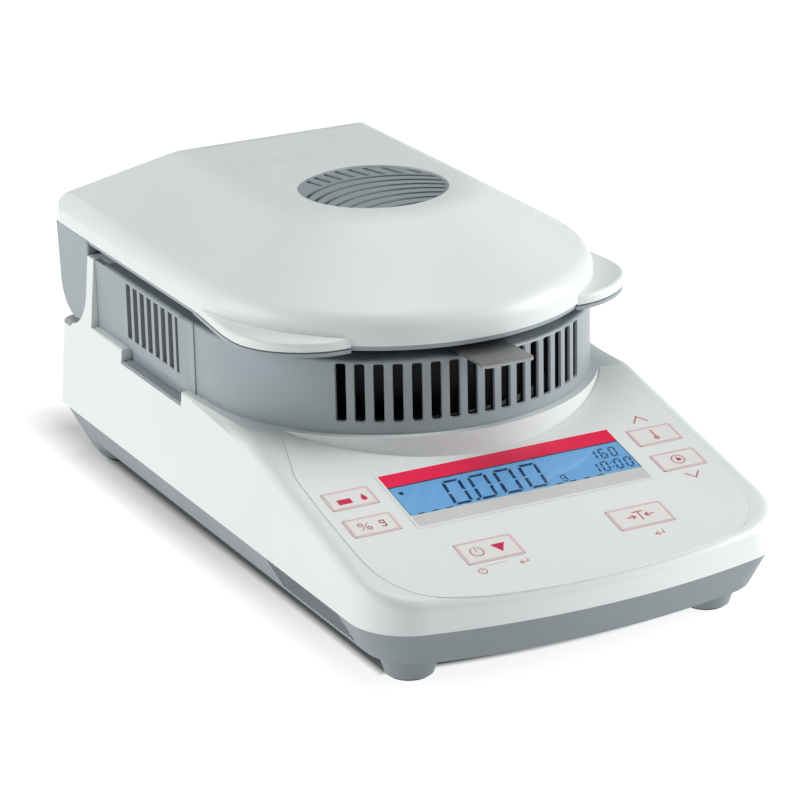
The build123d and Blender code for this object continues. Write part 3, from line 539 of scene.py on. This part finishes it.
# temperature: thermometer
icon("icon_temperature", strokes([[(62.5, -74.8), (62.5, -79.0)]], 0.9) + [arcpts(62.5, -79.6, 1.2, 0, 342, 14)], "temperature_key", h, M["icon_pale"])
# time: clock
icon("icon_time", strokes([arcpts(62.4, -94.2, 2.5, 0, 360, 26), [(62.4, -94.2), (62.4, -92.6)], [(62.4, -94.2), (63.9, -94.9)]], 0.45), "time_key", h, M["icon_pale"])
icon("icon_time_hub", [arcpts(62.6, -94.3, 0.9, 0, 342, 14)], "time_key", h, M["icon"])
# start: power ring and triangle
icon("icon_start_ring", strokes([arcpts(-35.4, -120.3, 2.4, 120, 420, 24), [(-35.4, -117.4), (-35.4, -120.3)]], 0.45), "start_key", h, M["icon_pale"])
icon("icon_start_triangle", [[(-29.2, -118.2), (-23.6, -118.2), (-26.4, -122.9)]], "start_key", h)
# tare: arrows to a bar
icon("icon_tare", strokes([[(30.5, -117.8), (30.5, -122.4)], [(28.7, -117.8), (32.3, -117.8)], [(25.4, -120.2), (28.4, -120.2)], [(27.4, -119.3), (28.4, -120.2), (27.4, -121.1)],
                           [(35.6, -120.2), (32.6, -120.2)], [(33.6, -119.3), (32.6, -120.2), (33.6, -121.1)]], 0.6), "tare_key", h, M["icon_mid"])
# marks printed on the overlay
h = OVL_TOP
icon("mark_up", strokes([[(59.4, -68.6), (62.3, -65.0), (65.2, -68.6)]], 0.6), "base", h, M["icon_mid"])
icon("mark_down", strokes([[(60.2, -102.8), (62.9, -105.9), (65.6, -102.8)]], 0.6), "base", h, M["icon_mid"])
icon("mark_enter", strokes([[(33.6, -129.6), (33.6, -131.4), (30.2, -131.4)], [(31.4, -130.4), (30.2, -131.4), (31.4, -132.4)]], 0.5), "base", h, M["icon_pale"])
icon("mark_enter_left", strokes([[(-20.6, -129.0), (-20.6, -130.4), (-23.8, -130.4)], [(-22.7, -129.5), (-23.8, -130.4), (-22.7, -131.3)]], 0.45), "base", h, M["icon_pale"])
icon("mark_power", strokes([arcpts(-38.7, -130.6, 1.5, 120, 420, 18), [(-38.7, -128.8), (-38.7, -130.6)]], 0.4), "base", h, M["icon_pale"])
icon("mark_start_line", strokes([[(-36.4, -128.2), (-27.8, -128.2)]], 0.35), "base", h, M["outline"])

# printed bands on the display window
flat_piece("display_stripe", [rect(-47.4, 47.4, -76.3, -68.8, 0.4)], WIN_TOP - 0.005, WIN_TOP + 0.03, M["red"])
flat_piece("display_strip", [rect(-47.4, 47.4, -101.0, -94.0, 0.1)], WIN_TOP - 0.005, WIN_TOP + 0.03, M["strip"])
# face of the display and its figures, seen at the level of the window's back
flat_piece("display_face", [rect(-47.4, 47.4, -93.9, -76.4)], -0.05, 0.18, M["lcd"])

SEG = {"0": "abcdef", "1": "bc", "2": "abged", "3": "abgcd", "4": "fgbc", "5": "afgcd", "6": "afgedc", "7": "abc", "8": "abcdefg", "9": "abfgcd"}


def digit(ch, x, y, w, hgt, t, lean=0.12):
    """seven segments as separate tapered bars; x, y is the lower left corner"""
    out = []
    g = t * 0.32

    def q(pts):
        out.append([(x + px + lean * py, y + py) for px, py in pts])
    m = hgt / 2.0
    for s in SEG[ch]:
        if s == "a":
            q([(g + t * 0.2, hgt), (w - g - t * 0.2, hgt), (w - t - g * 0.4, hgt - t), (t + g * 0.4, hgt - t)])
        if s == "d":
            q([(t + g * 0.4, t), (w - t - g * 0.4, t), (w - g - t * 0.2, 0), (g + t * 0.2, 0)])
        if s == "g":
            q([(t * 0.7 + g, m), (t + g, m + t / 2), (w - t - g, m + t / 2), (w - t * 0.7 - g, m), (w - t - g, m - t / 2), (t + g, m - t / 2)])
        if s == "f":
            q([(0, hgt - g - t * 0.3), (t, hgt - t - g), (t, m + g + t * 0.3), (0, m + g * 0.6)])
        if s == "b":
            q([(w - t, hgt - t - g), (w, hgt - g - t * 0.3), (w, m + g * 0.6), (w - t, m + g + t * 0.3)])
        if s == "e":
            q([(0, m - g * 0.6), (t, m - g - t * 0.3), (t, t + g), (0, g + t * 0.3)])
        if s == "c":
            q([(w - t, m - g - t * 0.3), (w, m - g * 0.6), (w, g + t * 0.3), (w - t, t + g)])
    return out


big = []
yb = -93.2
for i, ch in enumerate("0000"):
    big += digit(ch, -29.0 + i * 10.3, yb, 7.5, 14.4, 1.25)
big.append([(-20.1, yb), (-18.8, yb), (-18.6, yb + 1.4), (-19.9, yb + 1.4)])
small = []
for i, ch in enumerate("160"):
    small += digit(ch, 32.0 + i * 4.2, -84.9, 2.8, 5.8, 0.62)
for i, ch in enumerate("1000"):
    small += digit(ch, 28.6 + i * 4.3 + (1.1 if i > 1 else 0.0), -92.4, 2.9, 6.0, 0.64)
small.append([(37.0, -90.9), (37.7, -90.9), (37.7, -90.2), (37.0, -90.2)])
small.append([(37.3, -88.5), (38.0, -88.5), (38.0, -87.8), (37.3, -87.8)])
flat_piece("display_figures", big + small, 0.18, 0.21, M["segment"])
flat_piece("display_unit", strokes([arcpts(16.4, -90.3, 0.95, 0, 360, 16), [(17.35, -89.3), (17.35, -92.0)], arcpts(16.4, -92.0, 0.95, 0, -150, 8)], 0.4), 0.18, 0.21, M["segment"])
flat_piece("display_mark", [arcpts(-43.9, -80.6, 0.95, 0, 342, 16)], 0.18, 0.21, M["segment"])
# dark band along the top of the display face as painted shade below the window's upper edge, a dark blue border at its
# sides, and the row of small printed marks under the figures
flat_piece("display_edge_and_painted_shade", [rect(-47.4, 47.4, -76.9, -76.3), rect(-47.4, -46.9, -93.9, -76.9), rect(46.9, 47.4, -93.9, -76.9)], 0.18, 0.205, M["edge"])
dashes = []
for i in range(14):
    x = -44.0 + i * 5.6
    if i not in (3, 4, 5, 6, 7, 8, 9):
        dashes.append(rect(x, x + 2.6, -93.8, -93.25))
flat_piece("display_row", dashes, 0.18, 0.205, M["edge"])
# film edge that closes the joint between window and overlay
band("display_border", frame_loops(-48.2, 48.2, -101.7, -68.0, 1.0, 0.8), WIN_TOP + 0.0, M["overlay"], thick=0.04)
# light gasket in the gap round each key
for k, (x0, x1, y0, y1) in KEYS.items():
    band("gasket_" + k, frame_loops(x0 - 0.27, x1 + 0.27, y0 - 0.27, y1 + 0.27, 0.22, 0.5), -0.25, M["outline"], thick=0.35)
